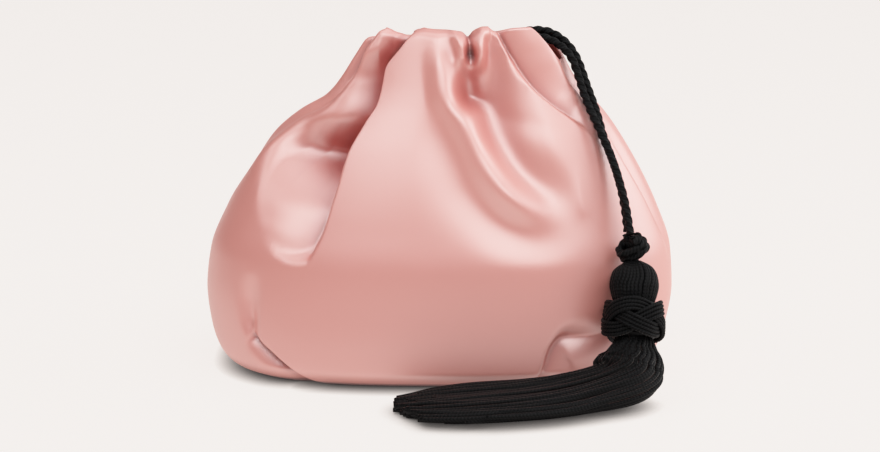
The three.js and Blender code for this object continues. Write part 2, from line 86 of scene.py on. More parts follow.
# Tassel bundle from the head to the tips: x, y, z, half width, half thickness
BUNDLE = np.array([
    (83.6, -48.6, 55.2, 4.2, 4.2),
    (83.8, -50.2, 52.2, 9.0, 8.4),
    (84, -52.6, 47.5, 10.6, 9.8),
    (83.9, -54.6, 43.6, 10, 9.5),
    (83.7, -57, 39, 8.6, 8.5),
    (83.4, -60, 33, 8.3, 8.3),
    (83.3, -63, 27, 8.1, 8.1),
    (83.2, -66, 21.1, 11.3, 10.2),
    (81.8, -70.3, 15.1, 16.4, 11.1),
    (76.3, -76.2, 10, 18.4, 9.5),
    (60, -81, 7.2, 20, 7),
    (40, -86.5, 6, 22.5, 5.8),
    (15, -89.5, 5.2, 23.5, 5),
    (-5, -90, 4.2, 20, 4),
    (-20, -88, 2.9, 12.5, 2.7),
])


def unit(v):
    return v / (np.linalg.norm(v, axis=-1, keepdims=True) + 1e-12)


def catmull(points, per_span):
    """A smooth line through points."""
    p = np.asarray(points, float)
    q = np.vstack([2 * p[0] - p[1], p, 2 * p[-1] - p[-2]])
    spans = []
    t = np.linspace(0, 1, per_span, endpoint=False)[:, None]
    for a, b, c, d in zip(q[:-3], q[1:-2], q[2:-1], q[3:]):
        bend = (2 * a - 5 * b + 4 * c - d) * t**2 + (3 * b - a - 3 * c + d) * t**3
        spans.append(0.5 * (2 * b + (c - a) * t + bend))
    return np.vstack(spans + [p[-1:]])


def new_piece(name, points, faces, material, uv=None):
    """A smooth mesh piece from points in millimetres. It rides the pouch's one body."""
    mesh = bpy.data.meshes.new(name)
    mesh.from_pydata((np.asarray(points) * MM).tolist(), [], faces)
    if uv is not None:
        layer = mesh.uv_layers.new(name="UVMap")
        corner = np.empty(len(mesh.loops), dtype=np.int32)
        mesh.loops.foreach_get("vertex_index", corner)
        layer.data.foreach_set("uv", np.asarray(uv, np.float32)[corner].ravel())
    mesh.polygons.foreach_set("use_smooth", np.ones(len(mesh.polygons), bool))
    mesh.materials.append(material)
    mesh.update()
    piece = bpy.data.objects.new(name, mesh)
    scene.collection.objects.link(piece)
    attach(piece, "root")
    return piece


def grid_faces(rows, columns, start=0):
    """Quads of a grid that closes round its columns."""
    r, c = np.meshgrid(np.arange(rows - 1), np.arange(columns), indexing="ij")
    n = (c + 1) % columns
    quads = np.stack([r * columns + c, r * columns + n, (r + 1) * columns + n, (r + 1) * columns + c], -1)
    return (quads.reshape(-1, 4) + start).tolist()


def make_nodes(name):
    material = bpy.data.materials.new(name)
    material.use_nodes = True
    tree = material.node_tree
    return material, tree, tree.nodes["Principled BSDF"]


def link(tree, source, target):
    tree.links.new(source, target)


def colour_mix(tree, factor, first, second):
    """A colour between a fixed first one and a second one, which may be fixed or come from another node."""
    mix = tree.nodes.new("ShaderNodeMix")
    mix.data_type = "RGBA"
    mix.inputs["A"].default_value = first
    link(tree, factor, mix.inputs["Factor"])
    if isinstance(second, tuple):
        mix.inputs["B"].default_value = second
    else:
        link(tree, second, mix.inputs["B"])
    return mix.outputs["Result"]


def add_bump(tree, shader, height, strength, distance):
    """Fine relief on a material."""
    bump = tree.nodes.new("ShaderNodeBump")
    bump.inputs["Strength"].default_value = strength
    bump.inputs["Distance"].default_value = distance
    link(tree, height, bump.inputs["Height"])
    link(tree, bump.outputs["Normal"], shader.inputs["Normal"])


# Yarn colours: the dark base, and lighter ply bands that are partly a painted highlight on each twist
YARN_DARK = (0.0012, 0.0012, 0.0013, 1)
YARN_PLY_AND_PAINTED_HIGHLIGHT = (0.007, 0.007, 0.0074, 1)


def black_cord():
    """Black viscose yarn: fine plies along the strand, their lighter bands partly a painted highlight on each
    twist, and a faint silky gloss.
    """
    material, tree, shader = make_nodes("black_cord")
    place = tree.nodes.new("ShaderNodeUVMap")
    ply = tree.nodes.new("ShaderNodeTexWave")
    ply.wave_type = "BANDS"
    ply.bands_direction = "DIAGONAL"
    ply.inputs["Scale"].default_value = 0.42
    ply.inputs["Distortion"].default_value = 0.8
    ply.inputs["Detail"].default_value = 2
    link(tree, place.outputs["UV"], ply.inputs["Vector"])
    colour = colour_mix(tree, ply.outputs["Fac"], YARN_DARK, YARN_PLY_AND_PAINTED_HIGHLIGHT)
    link(tree, colour, shader.inputs["Base Color"])
    shader.inputs["Roughness"].default_value = 0.5
    shader.inputs["Specular IOR Level"].default_value = 0.08
    add_bump(tree, shader, ply.outputs["Fac"], strength=0.5, distance=0.0002)
    return material


BLACK = black_cord()


def even_path(points, step, closed=False):
    """Points at even steps along a line."""
    points = np.asarray(points, float)
    if closed:
        points = np.vstack([points, points[:1]])
    length = np.concatenate([[0], np.cumsum(np.linalg.norm(np.diff(points, axis=0), axis=1))])
    count = max(3, int(round(length[-1] / step)) + 1)
    at = np.linspace(0, length[-1], count)
    even = np.stack([np.interp(at, length, column) for column in points.T], -1)
    return even[:-1] if closed else even


def path_frames(path, closed=False):
    """Two directions across the path that don't spin round it."""
    if closed:
        along = unit(np.roll(path, -1, 0) - np.roll(path, 1, 0))
    else:
        along = unit(np.gradient(path, axis=0))
    first = np.cross(along[0], [0.3, 1, 0.2])
    across = [first / np.linalg.norm(first)]
    for t in along[1:]:
        turned = across[-1] - t * (across[-1] @ t)
        across.append(turned / np.linalg.norm(turned))
    across = np.array(across)
    return along, across, np.cross(along, across)


PLY = 0.464  # one ply's radius in a three-ply rope
PLY_REACH = 2 / math.sqrt(3)  # from the rope's middle to a ply's, in ply radii
ROPE_GROOVE = 0.74


def rope_outline(angle):
    """Radius of a three-ply rope of radius 1 at an angle round it."""
    a = (angle + math.pi / 3) % (2 * math.pi / 3) - math.pi / 3
    reach = PLY_REACH * PLY
    radius = reach * np.cos(a) + np.sqrt(np.maximum(PLY**2 - (reach * np.sin(a)) ** 2, 0))
    return np.maximum(radius, ROPE_GROOVE)


def tube_mesh(path, radius, sides, twist=None, closed=False, start=0):
    """Points, faces and UVs of a tube. With a twist it is a rope that turns once per that length."""
    along, across, up = path_frames(path, closed)
    count = len(path)
    step = np.linalg.norm(np.diff(path, axis=0), axis=1)
    s = np.concatenate([[0], np.cumsum(step)])
    a = np.linspace(0, 2 * math.pi, sides, endpoint=False)
    a, s = np.meshgrid(a, s)
    size = np.broadcast_to(np.asarray(radius, float), count)[:, None]
    if twist:
        size = size * rope_outline(a + 2 * math.pi * s / twist)
    points = path[:, None] + size[..., None] * (
        across[:, None] * np.cos(a)[..., None] + up[:, None] * np.sin(a)[..., None])
    uv = np.stack([a / (2 * math.pi) * sides / 4 + (s / twist if twist else 0), s], -1)
    faces = grid_faces(count, sides, start)
    points = points.reshape(-1, 3)
    if closed:
        last = start + (count - 1) * sides
        shift = np.argmin(np.linalg.norm(points[:sides] - points[-sides], axis=1))
        for i in range(sides):
            j = (i + 1) % sides
            faces.append([last + i, last + j, start + (j + shift) % sides, start + (i + shift) % sides])
        return points, faces, uv.reshape(-1, 2)
    end = start + count * sides
    points = np.vstack([points, path[:1], path[-1:]])
    uv = np.vstack([uv.reshape(-1, 2), uv[0, 0], uv[-1, 0]])
    last = end - sides
    for i in range(sides):
        j = (i + 1) % sides
        faces.append([end, start + j, start + i])
        faces.append([end + 1, last + i, last + j])
    return points, faces, uv


def tubes_piece(name, tubes, material):
    """One piece from many tubes, each (path, radius, sides, twist, closed)."""
    points, faces, uv = [], [], []
    start = 0
    for path, radius, sides, twist, closed in tubes:
        p, f, t = tube_mesh(path, radius, sides, twist, closed, start)
        start += len(p)
        points.append(p)
        faces.extend(f)
        uv.append(t)
    return new_piece(name, np.vstack(points), faces, material, np.vstack(uv))


ROPE_SIDES = 24
ROPE_STEP = 0.45


def rope_piece(name, route):
    """A twisted rope along a route, and the points that it follows."""
    path = even_path(catmull(route, 16), ROPE_STEP)
    piece = tubes_piece(name, [(path, CORD_WIDTH / 2, ROPE_SIDES, CORD_LAY, False)], BLACK)
    return piece, path


# Knot: its lean to the right, the turns of its wrap and how far they climb, and the wrap's half width and
# half depth, each with the swell at its middle
KNOT_LEAN = math.radians(33)
KNOT_FORWARD = -0.25
KNOT_TURNS = 2.6
KNOT_START = 0.6
KNOT_CLIMB = 7.6
KNOT_WIDE = (5.0, 0.7)
KNOT_DEEP = (3.7, 0.4)
KNOT_CORE_TOP = (-1.4, 0, 6)
KNOT_CORE_LOW = (0.2, -1.6, -6.4)
KNOT_CORE_SIDES = ((-1.4, 1.6), (1.2, -1.5))


def make_knot():
    """Both cords wrapped into a knot that leans up to the right."""
    axis = np.array([-math.sin(KNOT_LEAN), KNOT_FORWARD, math.cos(KNOT_LEAN)])
    axis = axis / np.linalg.norm(axis)
    side = unit(np.cross(axis, [0, 1, 0]))
    front = np.cross(side, axis)
    t = np.linspace(0, 1, 260)
    angle = 2 * math.pi * KNOT_TURNS * t + KNOT_START
    climb = (t - 0.5) * KNOT_CLIMB
    swell = np.sin(math.pi * t)
    reach = KNOT_WIDE[0] + KNOT_WIDE[1] * swell
    deep = KNOT_DEEP[0] + KNOT_DEEP[1] * swell
    wrap = KNOT_MIDDLE + climb[:, None] * axis
    wrap = wrap + (reach * np.cos(angle))[:, None] * side + (deep * np.sin(angle))[:, None] * front
    tubes = [(even_path(wrap, 0.5), CORD_WIDTH / 2, ROPE_SIDES, CORD_LAY, False)]
    for x, y in KNOT_CORE_SIDES:
        top = KNOT_MIDDLE + KNOT_CORE_TOP + [x, y, 0]
        waist = KNOT_MIDDLE + [x * 0.6, y * 0.6, 0]
        low = KNOT_MIDDLE + KNOT_CORE_LOW + [x, y * 0.7, 0]
        core = even_path(catmull([top, waist, low], 12), 0.6)
        tubes.append((core, CORD_WIDTH / 2, 18, CORD_LAY, False))
    piece = tubes_piece("knot_rope", tubes, BLACK)
    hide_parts("cord_knot")
    return piece


BUNDLE_STEPS = 24


def bundle_at(station):
    """Middle, sizes and directions of the tassel's bundle."""
    line = catmull(BUNDLE, BUNDLE_STEPS)
    at = np.clip(np.asarray(station, float) * BUNDLE_STEPS, 0, len(line) - 1)
    row = np.stack([np.interp(at, np.arange(len(line)), column) for column in line.T], -1)
    slope = np.gradient(line[:, :3], axis=0)
    along = unit(np.stack([np.interp(at, np.arange(len(line)), column) for column in slope.T], -1))
    across = unit(np.cross([0, 0, 1], along))
    return row[..., :3], row[..., 3], row[..., 4], along, across, np.cross(along, across)


WANDER_POINTS = 6


def wander(count, steps, size):
    """Slow seeded side steps for each strand."""
    knots = rng.normal(0, size, (count, WANDER_POINTS))
    at = np.linspace(0, WANDER_POINTS - 1, steps)
    return np.stack([np.interp(at, np.arange(WANDER_POINTS), row) for row in knots])


BAND_STATION = 5
STRAND_WIDTH = 2.1
HEAD_CORDS = 34
HEAD_INSET = 0.9
HEAD_DENT = 0.3
HEAD_DENT_ANGLE = 0.2
HEAD_DENT_END = 3
HEAD_CORE = 0.75

# Skirt: its first station, how much shorter some strands are, and how far they stray
SKIRT_STRANDS = 170
SKIRT_STEPS = 64
SKIRT_START = 5.2
SKIRT_RAGGED = 1.3
SKIRT_SLANT = 0.9
SKIRT_SWAY = 0.07
SKIRT_TURN = 0.10
GOLDEN_ANGLE = math.pi * (3 - math.sqrt(5))


def make_head():
    """Fine cords laid side by side over the tassel's bell."""
    station = np.linspace(0, BAND_STATION, 46)
    middle, wide, thick, _, across, up = bundle_at(station)
    fade = np.clip(1 - station / HEAD_DENT_END, 0, 1)
    tubes = []
    for k in range(HEAD_CORDS):
        a = 2 * math.pi * (k + rng.uniform(-0.15, 0.15)) / HEAD_CORDS
        dent = 1 - HEAD_DENT * math.sin(a - HEAD_DENT_ANGLE) ** 8 * fade
        path = middle + ((wide - HEAD_INSET) * dent * math.cos(a))[:, None] * across
        path = path + ((thick - HEAD_INSET) * dent * math.sin(a))[:, None] * up
        tubes.append((path, STRAND_WIDTH / 2, 8, None, False))
    tubes.append((middle, HEAD_CORE * np.minimum(wide, thick), 20, None, False))
    piece = tubes_piece("tassel_head", tubes, BLACK)
    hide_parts("tassel_strands")
    return piece


def make_skirt():
    """Fine strands from the band down to the floor and along it to the tips."""
    tubes = []
    sway = wander(SKIRT_STRANDS, SKIRT_STEPS, SKIRT_SWAY)
    turn = wander(SKIRT_STRANDS, SKIRT_STEPS, SKIRT_TURN)
    last = len(BUNDLE) - 1
    half = STRAND_WIDTH / 2
    for k in range(SKIRT_STRANDS):
        r = math.sqrt((k + 0.5) / SKIRT_STRANDS)
        a = k * GOLDEN_ANGLE
        end = last - SKIRT_RAGGED * rng.random() ** 2 - SKIRT_SLANT * max(0, math.cos(a)) * r
        station = np.linspace(SKIRT_START, end, SKIRT_STEPS)
        middle, wide, thick, _, across, up = bundle_at(station)
        out = np.clip(r + sway[k] * np.linspace(0.2, 1, SKIRT_STEPS), 0, 1.02)
        angle = a + turn[k] * np.linspace(0.3, 1, SKIRT_STEPS)
        path = middle + ((wide - half) * out * np.cos(angle))[:, None] * across
        path = path + ((thick - half) * out * np.sin(angle))[:, None] * up
        path[:, 2] = np.maximum(path[:, 2], half)
        tubes.append((path, half, 6, None, False))
    piece = tubes_piece("tassel_skirt", tubes, BLACK)
    piece.visible_glossy = False  # the photo shows no dark stripe of it in the satin
    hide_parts("tassel_strands")
    return piece


# Band: a ring of three leads with four bends each, woven over and under
BAND_INNER = 9.6
BAND_OUTER = 14.2
BAND_HALF = 8.8
BAND_LEADS = 3
BAND_BIGHTS = 4
BAND_CORD = 2.0
BAND_LAY = 5.0
BAND_LANES = (-2.4, -0.8, 0.8, 2.4)
BAND_WEAVE = 1.05
BAND_SWELL = 2.5
BAND_CORE_HALF = 7.5


def make_band():
    """A woven ring of three leads, each of four thin cords side by side."""
    middle, _, _, along, across, up = bundle_at(BAND_STATION)
    round_ = (BAND_INNER + BAND_OUTER) / 2
    swing = BAND_HALF - BAND_LANES[-1] - BAND_CORD / 2
    t = np.linspace(0, 2 * math.pi * BAND_LEADS, 800, endpoint=False)
    wave = BAND_BIGHTS * t / BAND_LEADS
    slope = swing * BAND_BIGHTS / BAND_LEADS * np.sin(wave) / round_
    tubes = []
    for lane in BAND_LANES:
        height = -swing * np.cos(wave) + lane / np.hypot(1, slope)
        turn = t - lane * slope / np.hypot(1, slope) / round_
        bulge = np.sqrt(np.maximum(1 - (height / (BAND_HALF + BAND_SWELL)) ** 2, 0))
        radius = BAND_INNER + (BAND_OUTER - BAND_INNER - BAND_CORD) * bulge + BAND_WEAVE * np.sin(2 * wave)
        path = middle + height[:, None] * along
        path = path + (radius * np.cos(turn))[:, None] * across + (radius * np.sin(turn))[:, None] * up
        tubes.append((even_path(path, 0.6, True), BAND_CORD / 2, 12, BAND_LAY, True))
    core = middle + np.linspace(-BAND_CORE_HALF, BAND_CORE_HALF, 12)[:, None] * along
    tubes.append((core, BAND_INNER - 0.3, 24, None, False))
    piece = tubes_piece("tassel_band_weave", tubes, BLACK)
    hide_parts("tassel_band")
    return piece


def make_cords():
    knot = make_knot()
    ropes = [("lower", LOWER_ROOT, LOWER_ROUTE), ("upper", UPPER_ROOT, UPPER_ROUTE)]
    for name, root, route in ropes:
        rope, path = rope_piece("rope_" + name, root + route[ROOTED:])
        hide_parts("drawstring_" + name)


make_cords()
make_head()
make_band()
make_skirt()

# Pouch without folds: z, half width left and right, half depth front and back, squareness
PROFILE = np.array([
    (0, 0, 0, 0, 0, 2.7),
    (0, 42, 41, 23, 22, 2.7),
    (0, 84, 82, 47, 44, 2.7),
    (2.5, 93.5, 91, 55.5, 51, 2.8),
    (9, 100, 98.5, 61.2, 56, 2.75),
    (20, 103.8, 102.5, 60.6, 57, 2.6),
    (35, 105.5, 105, 58.8, 57, 2.45),
    (52, 103.5, 104, 56, 55, 2.35),
    (70, 96, 98, 50, 50, 2.3),
    (87, 86.8, 90, 43.5, 44, 2.25),
    (102, 77.5, 81.3, 37, 38, 2.2),
    (113, 65, 74, 32, 33, 2.1),
    (121, 52.5, 67.5, 28.5, 29, 2.05),
    (129, 46.3, 61.5, 25.2, 26, 2),
    (138, 41.3, 57, 21.7, 23, 2),
    (146, 36.8, 52, 18.7, 21, 2),
    (153, 32, 47, 16, 19.5, 2),
])
BASE_EDGE = 2
RIM_FADE_FROM = 114
RIM_HEIGHT = 153
RIM_ROLL = 3.5
ROLL_FREE = (85, 45, 20)  # the cords' way out: middle angle, half width, fade
WALL = 1.7
LEVEL_BELOW = 20  # folds press in level with the floor at the base, and less so up to here
LIFT_SHARE = 0.5

# Folds: (name, shape, [angle, z, depth inwards, width to the left, width to the right])
# Shape 0 is a round valley, 1 a crease with soft shoulders, 2 a flat ramp down to the line
FOLDS = [
    ("left_tuck", 1.9, [
        (-23, 153.5, 9, 16, 1.8), (-29, 146.5, 12, 20, 1.8), (-36.5, 138, 14.5, 24, 1.8),
        (-36, 130, 15, 24, 1.8), (-31, 112, 13, 34, 1.8), (-30, 98, 13.5, 42, 1.8), (-29.5, 82, 11, 38, 1.8),
        (-29.5, 68, 8, 30, 1.8), (-31, 58, 5.5, 26, 1.8), (-33, 48, 4, 24, 1.8)]),
    ("recess_floor", 0, [
        (-110, 140, 0, 9, 9), (-84, 112, 0, 9, 9), (-68, 95, 0, 9, 9), (-60, 80, 0, 9, 9), (-51, 66, 0, 9, 9),
        (-44, 59, 0, 9, 9), (-37, 56, 0, 9, 9), (-30, 57, 0, 9, 9), (-25, 62, 0, 9, 9)]),
    ("left_hollow", 0, [
        (-84, 113, 0, 14, 14), (-72, 110, 6, 20, 16), (-60, 106.5, 12, 27, 17), (-48, 104.5, 16, 31, 17),
        (-36, 103.5, 18, 33, 17), (-24, 104, 18, 33, 17)]),
    ("left_tube", 0, [
        (-82, 138, 0, 13, 12), (-64, 141, -3, 14, 12), (-50, 143, -3, 14, 12), (-40, 144, 0, 12, 12)]),
    ("front_groove", 0, [
        (-2, 124, 0, 10, 8), (1, 108, 2, 14, 9), (4.5, 95, 3, 17, 10), (8.2, 84, 4, 20, 11),
        (14.5, 73.5, 4.5, 21, 12), (23, 70.5, 3.5, 20, 12), (32, 73, 1, 18, 12)]),
    ("front_ridge", 0, [
        (-2, 147, -1, 9, 8), (-0.5, 138, -3.5, 10, 8), (2.3, 127, -5, 11, 9), (6.6, 116, -5.5, 12, 11),
        (10.5, 106, -6.5, 13, 13), (13.7, 95, -7, 14, 14), (17, 84, -5.5, 14, 16), (21.5, 75, -2.5, 16, 18)]),
    ("notch_roll", 0, [
        (7, 153, -2, 5, 5), (9.6, 146, -3.5, 5, 5), (11, 139.5, -4, 5, 5), (14.2, 135.2, -4, 5, 5),
        (17.6, 139, -4, 5, 5), (20, 146, -3.5, 5, 5), (23, 153, -2, 5, 5)]),
    ("notch_pocket", 0, [(13.8, 141, 4, 7, 7), (13, 133, 11, 9.5, 9.5), (12, 125, 15, 11, 11)]),
    ("notch_slit", 1, [
        (14.8, 151, 1.5, 2.4, 2.4), (14.6, 143, 3, 2.4, 2.4), (14.3, 137.5, 2.5, 2.2, 2.2),
        (14, 134, 0, 2, 2)]),
    ("right_valley", 0, [
        (26, 146, 4, 8, 16), (22.5, 132, 8, 10, 20), (18, 118, 10.5, 12, 26), (15.8, 106, 10.5, 12, 27),
        (18.8, 94, 9, 13, 27), (26, 86, 5.5, 14, 26), (38, 80, 0, 15, 22)]),
    ("right_step", 2, [
        (33, 153, 4.5, 1.8, 20), (36, 140, 6, 1.8, 23), (41, 129.5, 6, 1.8, 25), (47.5, 120, 5.5, 1.8, 24),
        (53.5, 114, 4.5, 2.2, 20), (61, 106, 0, 4, 16)]),
    ("right_end", 0.5, [
        (86, 153, 2, 12, 16), (85, 138, 3, 12, 16), (80, 122, 4.5, 8, 16), (72, 100, 3, 3, 13.5),
        (75, 74, 2.5, 3, 13.5), (79, 48, 0, 5.5, 11)]),
    ("left_end", 0.2, [
        (-82, 150, 7, 12, 12), (-84, 128, 6, 13.5, 13.5), (-92, 100, 3, 16, 16), (-96, 75, 0, 16, 16)]),
    ("back_far_left", 0.3, [
        (-118, 150, 9, 13.5, 12), (-120, 125, 8, 16, 13.5), (-126, 95, 4, 19, 16), (-130, 70, 0, 19, 19)]),
    ("back_left", 0.3, [(-150, 150, 9, 12, 12), (-150, 120, 7, 16, 16), (-152, 88, 0, 19, 19)]),
    ("back_middle", 0.3, [(-184, 150, 9, 12, 12), (-184, 122, 8, 16, 16), (-186, 84, 0, 19, 19)]),
    ("back_right", 0.3, [(152, 150, 9, 12, 12), (150, 118, 7, 16, 16), (144, 80, 0, 19, 19)]),
    ("back_far_right", 0.3, [
        (132, 150, 7, 12, 12), (126, 120, 7, 15, 16), (112, 84, 3, 16, 19), (106, 66, 0, 16, 19)]),
    ("left_corner_dip", 0, [
        (-50, 48, 0, 12, 12), (-49, 37, 2, 11, 11), (-48.4, 28, 2.6, 9, 9), (-47.5, 22, 1.5, 7, 7)]),
    ("left_corner", 1.3, [
        (-48.5, 23, 0, 8, 2), (-46.5, 20.5, 3.5, 10, 1.1), (-39, 13.3, 5, 13, 1), (-31, 5, 5, 13, 1),
        (-27.5, 0, 3.5, 12, 2)]),
    ("right_corner", 1.4, [
        (46, 25, 0, 12, 10), (38, 23.5, 2.5, 13, 9), (31, 23.2, 3.5, 12, 10), (26, 23.6, 4.5, 6, 14),
        (23.2, 21.4, 5, 1.6, 18), (21.3, 16.5, 5, 1.2, 20), (20, 9.5, 5, 1.2, 20), (19, 0, 4, 1.4, 18)]),
    ("back_left_corner", 0.5, [
        (-128, 30, 0, 8, 16), (-138, 22, 4, 7, 19), (-146, 12, 4.5, 5.5, 19), (-150, 0, 4, 5.5, 16)]),
    ("back_right_corner", 0.5, [
        (128, 30, 0, 16, 8), (138, 22, 4, 19, 7), (146, 12, 4.5, 19, 5.5), (150, 0, 4, 16, 5.5)]),
]

# A fold named here shows only to one side (-1 left, 1 right) of another fold's line
LIMITS = {"left_hollow": ("left_tuck", -1), "left_tuck": ("recess_floor", 1)}
EDGE_WIDTH = 2.2

# Rim: angle and lift
RIM = np.array([
    (-180, -8), (-167, -5), (-155, -9), (-140, -8), (-120, -5), (-95, -4), (-75, -2.5), (-60, -0.5),
    (-52, -1), (-44, -2), (-38, -2.5), (-33, -3), (-27, -3), (-23, -2), (-18, -0.8), (-12, -0.5), (-5, -0.8),
    (3, -1), (8, -1.5), (12, -2), (14, -3.5), (14.7, -4), (15.4, -3.5), (17.4, -2), (19.5, -1), (24, 0),
    (27, 0), (31, -2), (45, -1), (58, -1), (62, -3), (66, -8), (70, -14), (75, -16), (97, -16), (104, -10),
    (112, -5), (130, -6), (150, -8), (157, -10), (162, -23), (167, -12), (180, -8)])

# Columns of the pouch's mesh: from angle, to angle, count
COLUMNS = [
    (-180, -70, 52), (-70, -52, 20), (-52, -38, 34), (-38, -24, 40), (-24, 62, 150), (62, 98, 40),
    (98, 180, 48)]

# Rows of its outside above the base: from ring, to ring, count
ROWS = [(2, 6, 66), (6, 16, 112)]
INNER_ROWS = 32
SMOOTHING_STEPS = 4
SMOOTHING = 0.175

# The front's round folds are smoothed more: middle angle, half width and fade, then the same for z
SOFT_ZONE = (15, 17, 6, 98, 33, 10)
SOFT_ROUND_STEPS = 60
SOFT_UPRIGHT_STEPS = 18
SOFTENING = 0.35


def smooth_at(values, at):
    """Monotone cubic through evenly numbered values."""
    values = np.asarray(values, float)
    last = len(values) - 1
    rise = np.diff(values)
    product = rise[:-1] * rise[1:]
    total = rise[:-1] + rise[1:]
    slope = np.empty_like(values)
    slope[0], slope[-1] = rise[0], rise[-1]
    slope[1:-1] = np.where(product > 0, 2 * product / np.where(total == 0, 1, total), 0)
    at = np.asarray(at, float)
    i = np.clip(np.floor(at).astype(int), 0, last - 1)
    t = at - i
    keep = values[i] * (1 + 2 * t) * (1 - t) ** 2 + values[i + 1] * t * t * (3 - 2 * t)
    return keep + slope[i] * t * (1 - t) ** 2 - slope[i + 1] * t * t * (1 - t)


def profile_at(ring):
    at = np.clip(ring, 0, len(PROFILE) - 1)
    return [smooth_at(column, at) for column in PROFILE.T]


def plain_point(angle, ring):
    """The pouch with no folds. Angle 0 is the front, 90 the right."""
    z, left, right, front, back, square = profile_at(ring)
    s, c = np.sin(np.radians(angle)), np.cos(np.radians(angle))
    x = np.where(s > 0, right, left) * np.sign(s) * np.abs(s) ** (2 / square)
    y = -np.where(c > 0, front, back) * np.sign(c) * np.abs(c) ** (2 / square)
    return np.stack([x, y, z + 0 * x], -1)


def plain_normal(angle, ring):
    step = 0.05
    round_ = plain_point(angle + step, ring) - plain_point(angle - step, ring)
    up = plain_point(angle, ring + step) - plain_point(angle, ring - step)
    return unit(np.cross(round_, up))


def per_degree(angle, ring):
    _, left, right, front, back, _ = profile_at(ring)
    s, c = np.sin(np.radians(angle)), np.cos(np.radians(angle))
    return np.radians(np.hypot(np.where(s > 0, right, left) * c, np.where(c > 0, front, back) * s))


def fold_place(path, angle, z, scale):
    """Distance to a fold's line in millimetres on the cloth, which side, and where along it."""
    path = np.asarray(path, float)
    line = catmull(path[:, :2], 10)
    station = np.linspace(0, len(path) - 1, len(line))
    gap = np.full(angle.shape, 1e9)
    side = np.zeros(angle.shape)
    at = np.zeros(angle.shape)
    for (a0, z0), (a1, z1), s0, s1 in zip(line[:-1], line[1:], station[:-1], station[1:]):
        ax = ((a0 - angle + 180) % 360 - 180) * scale
        az = z0 - z
        dx, dz = (a1 - a0) * scale, z1 - z0
        t = np.clip(-(ax * dx + az * dz) / (dx * dx + dz * dz + 1e-9), 0, 1)
        d = np.hypot(ax + t * dx, az + t * dz)
        near = d < gap
        gap = np.where(near, d, gap)
        side = np.where(near, dz * ax - dx * az, side)
        at = np.where(near, s0 + t * (s1 - s0), at)
    return gap, side, at


def fold_depth(path, sharp, place):
    """How far one fold presses the cloth in."""
    gap, side, at = place
    depth, left, right = (np.interp(at, np.arange(len(path)), column) for column in np.asarray(path).T[2:])
    u = np.clip(gap / np.where(side < 0, left, right), 0, 1)
    round_ = (1 - u) ** 3 * (1 + 3 * u)
    crease = (1 - u) ** 3 * (1 + 0.8 * u)
    ramp = (1 - u) ** 1.3
    shape = round_ + sharp * (crease - round_) if sharp < 1 else crease + (sharp - 1) * (ramp - crease)
    return depth * shape


def all_folds(angle, z, scale):
    """The folds together. Those in LIMITS fade out at the line of the fold they name."""
    places = {name: fold_place(path, angle, z, scale) for name, _, path in FOLDS}
    total = 0
    for name, sharp, path in FOLDS:
        depth = fold_depth(path, sharp, places[name])
        if name in LIMITS:
            line, keep = LIMITS[name]
            gap, side, _ = places[line]
            depth = depth * np.clip(np.where(side * keep > 0, gap, 0) / EDGE_WIDTH, 0, 1)
        total = total + depth
    return total


def rim_lift(angle):
    turned = (np.asarray(angle) + 180) % 360 - 180
    return smooth_at(RIM[:, 1], np.interp(turned, RIM[:, 0], np.arange(len(RIM))))


def rim_roll(angle, z):
    """How far the cloth rolls in along the rim, but where the cords lie over it."""
    near = np.clip(1 - (RIM_HEIGHT + rim_lift(angle) - z) / RIM_ROLL, 0, 1)
    middle, half, fade = ROLL_FREE
    away = np.abs((np.asarray(angle) - middle + 180) % 360 - 180)
    return RIM_ROLL * (1 - np.sqrt(1 - near * near)) * np.clip((away - half) / fade, 0, 1)


RING_TABLE = np.linspace(BASE_EDGE, len(PROFILE) - 1, 1400)
HEIGHT_TABLE = profile_at(RING_TABLE)[0]


def cut_ring(angle, ring):
    """The level that a ring comes to where the rim dips, and how far it stands above the profile's top."""
    z = profile_at(ring)[0] + 0 * angle
    rise = np.clip((z - RIM_FADE_FROM) / (RIM_HEIGHT - RIM_FADE_FROM), 0, 1)
    wanted = z + rim_lift(angle) * rise * rise * (3 - 2 * rise)
    level = np.where(rise > 0, np.interp(wanted, HEIGHT_TABLE, RING_TABLE), ring)
    return level, np.maximum(wanted - RIM_HEIGHT, 0)


def cloth_point(angle, ring):
    """The pouch with its folds. Near the base they press in level with the floor."""
    ring, above = cut_ring(angle, ring)
    point = plain_point(angle, ring)
    z = point[..., 2]
    inward = -plain_normal(angle, ring)
    inward[..., 2] *= LIFT_SHARE * np.clip(z / LEVEL_BELOW, 0, 1)
    inward = unit(inward)
    depth = all_folds(angle, z, per_degree(angle, ring)) + rim_roll(angle, z)
    ease = np.clip((ring - BASE_EDGE + 0.5) * 2, 0, 1)
    point = point + inward * (depth * ease)[..., None]
    point[..., 2] += above
    return point


SATIN_BRIGHT = (0.73, 0.25, 0.21, 1)
SATIN_DEEP = (0.70, 0.23, 0.19, 1)
# Painted shade: a deep red for hollows and a near black for creases
SATIN_PAINTED_HOLLOW_SHADE = (0.45, 0.05, 0.035, 1)
SATIN_PAINTED_CREASE_SHADE = (0.18, 0.022, 0.018, 1)

# How open the cloth is, which sets the satin's painted shade: reach in metres, then the openness that counts
# as shut and as open
PAINTED_HOLLOW_SHADE_REACH = (0.04, 0.45, 0.94)
PAINTED_CREASE_SHADE_REACH = (0.004, 0.3, 0.8)


def painted_shade_openness(tree, reach, only_local):
    """0 where other cloth is close all round, 1 where the cloth is free; the mask of the satin's painted
    shade.
    """
    distance, shut, free = reach
    shelter = tree.nodes.new("ShaderNodeAmbientOcclusion")
    shelter.inputs["Distance"].default_value = distance
    shelter.only_local = only_local
    share = tree.nodes.new("ShaderNodeMapRange")
    share.inputs["From Min"].default_value = shut
    share.inputs["From Max"].default_value = free
    link(tree, shelter.outputs["AO"], share.inputs["Value"])
    return share.outputs["Result"]


